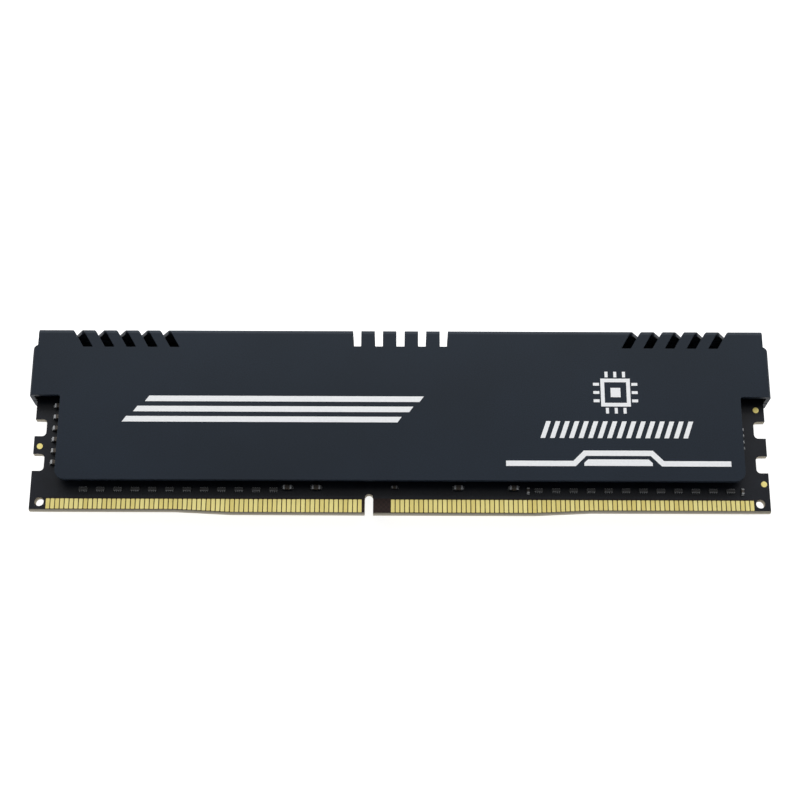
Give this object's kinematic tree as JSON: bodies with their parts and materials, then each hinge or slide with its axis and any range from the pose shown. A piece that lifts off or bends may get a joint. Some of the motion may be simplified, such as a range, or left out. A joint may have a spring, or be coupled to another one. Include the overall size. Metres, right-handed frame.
{
  "type": "memory module",
  "caption": "Desktop memory module: a black circuit board with gold edge contacts and a key notch between two folded black aluminium heat-spreader plates with slotted top edges.",
  "frame": {"origin": "middle of the module's bounding box on the plane it lies on, which is the outer face of the back plate", "axes": "+X along the board, towards the end with the longer row of contacts; +Y from the contact edge to the top edge; +Z out of the front plate, up when the module lies on its back plate"},
  "size_m": [0.1354, 0.0346, 0.0068],
  "materials": {
    "board_laminate": "black solder mask, semi-gloss",
    "gold_plating": "thin gold plating over nickel, satin",
    "black_aluminium": "bead-blasted and black anodised, matte",
    "thermal_silicone": "soft grey silicone",
    "chip_epoxy": "moulded black epoxy",
    "resistor_body": "black glaze",
    "capacitor_ceramic": "fired brown ceramic",
    "solder": "reflowed tin solder, satin",
    "white_print": "white screen print"
  },
  "bodies": {
    "root": {"circuit_board": "board_laminate", "contacts_front_left": "gold_plating", "contacts_front_right": "gold_plating", "contacts_back_left": "gold_plating", "contacts_back_right": "gold_plating", "front_plate": "black_aluminium", "front_thermal_pad": "thermal_silicone", "memory_chip_front_1": "chip_epoxy", "memory_chip_front_2": "chip_epoxy", "memory_chip_front_3": "chip_epoxy", "memory_chip_front_4": "chip_epoxy", "memory_chip_front_5": "chip_epoxy", "memory_chip_front_6": "chip_epoxy", "memory_chip_front_7": "chip_epoxy", "memory_chip_front_8": "chip_epoxy", "back_plate": "black_aluminium", "back_thermal_pad": "thermal_silicone", "memory_chip_back_1": "chip_epoxy", "memory_chip_back_2": "chip_epoxy", "memory_chip_back_3": "chip_epoxy", "memory_chip_back_4": "chip_epoxy", "memory_chip_back_5": "chip_epoxy", "memory_chip_back_6": "chip_epoxy", "memory_chip_back_7": "chip_epoxy", "memory_chip_back_8": "chip_epoxy", "configuration_chip": "chip_epoxy", "resistor_array_left_1": "resistor_body", "resistor_array_left_2": "resistor_body", "resistor_array_left_3": "resistor_body", "resistor_array_left_4": "resistor_body", "resistor_array_left_5": "resistor_body", "resistor_array_left_6": "resistor_body", "resistor_array_left_7": "resistor_body", "resistor_array_left_8": "resistor_body", "resistor_array_left_9": "resistor_body", "resistor_array_left_10": "resistor_body", "resistor_array_left_11": "resistor_body", "resistor_array_left_12": "resistor_body", "resistor_array_right_1": "resistor_body", "resistor_array_right_2": "resistor_body", "resistor_array_right_3": "resistor_body", "resistor_array_right_4": "resistor_body", "resistor_array_right_5": "resistor_body", "resistor_array_right_6": "resistor_body", "resistor_array_right_7": "resistor_body", "resistor_array_right_8": "resistor_body", "resistor_array_right_9": "resistor_body", "resistor_array_right_10": "resistor_body", "resistor_array_right_11": "resistor_body", "resistor_array_right_12": "resistor_body", "end_capacitor_1": "capacitor_ceramic", "end_capacitor_2": "capacitor_ceramic", "end_capacitor_3": "capacitor_ceramic", "end_capacitor_4": "capacitor_ceramic", "end_capacitor_5": "capacitor_ceramic", "end_capacitor_6": "capacitor_ceramic"}
  },
  "joints": []
}
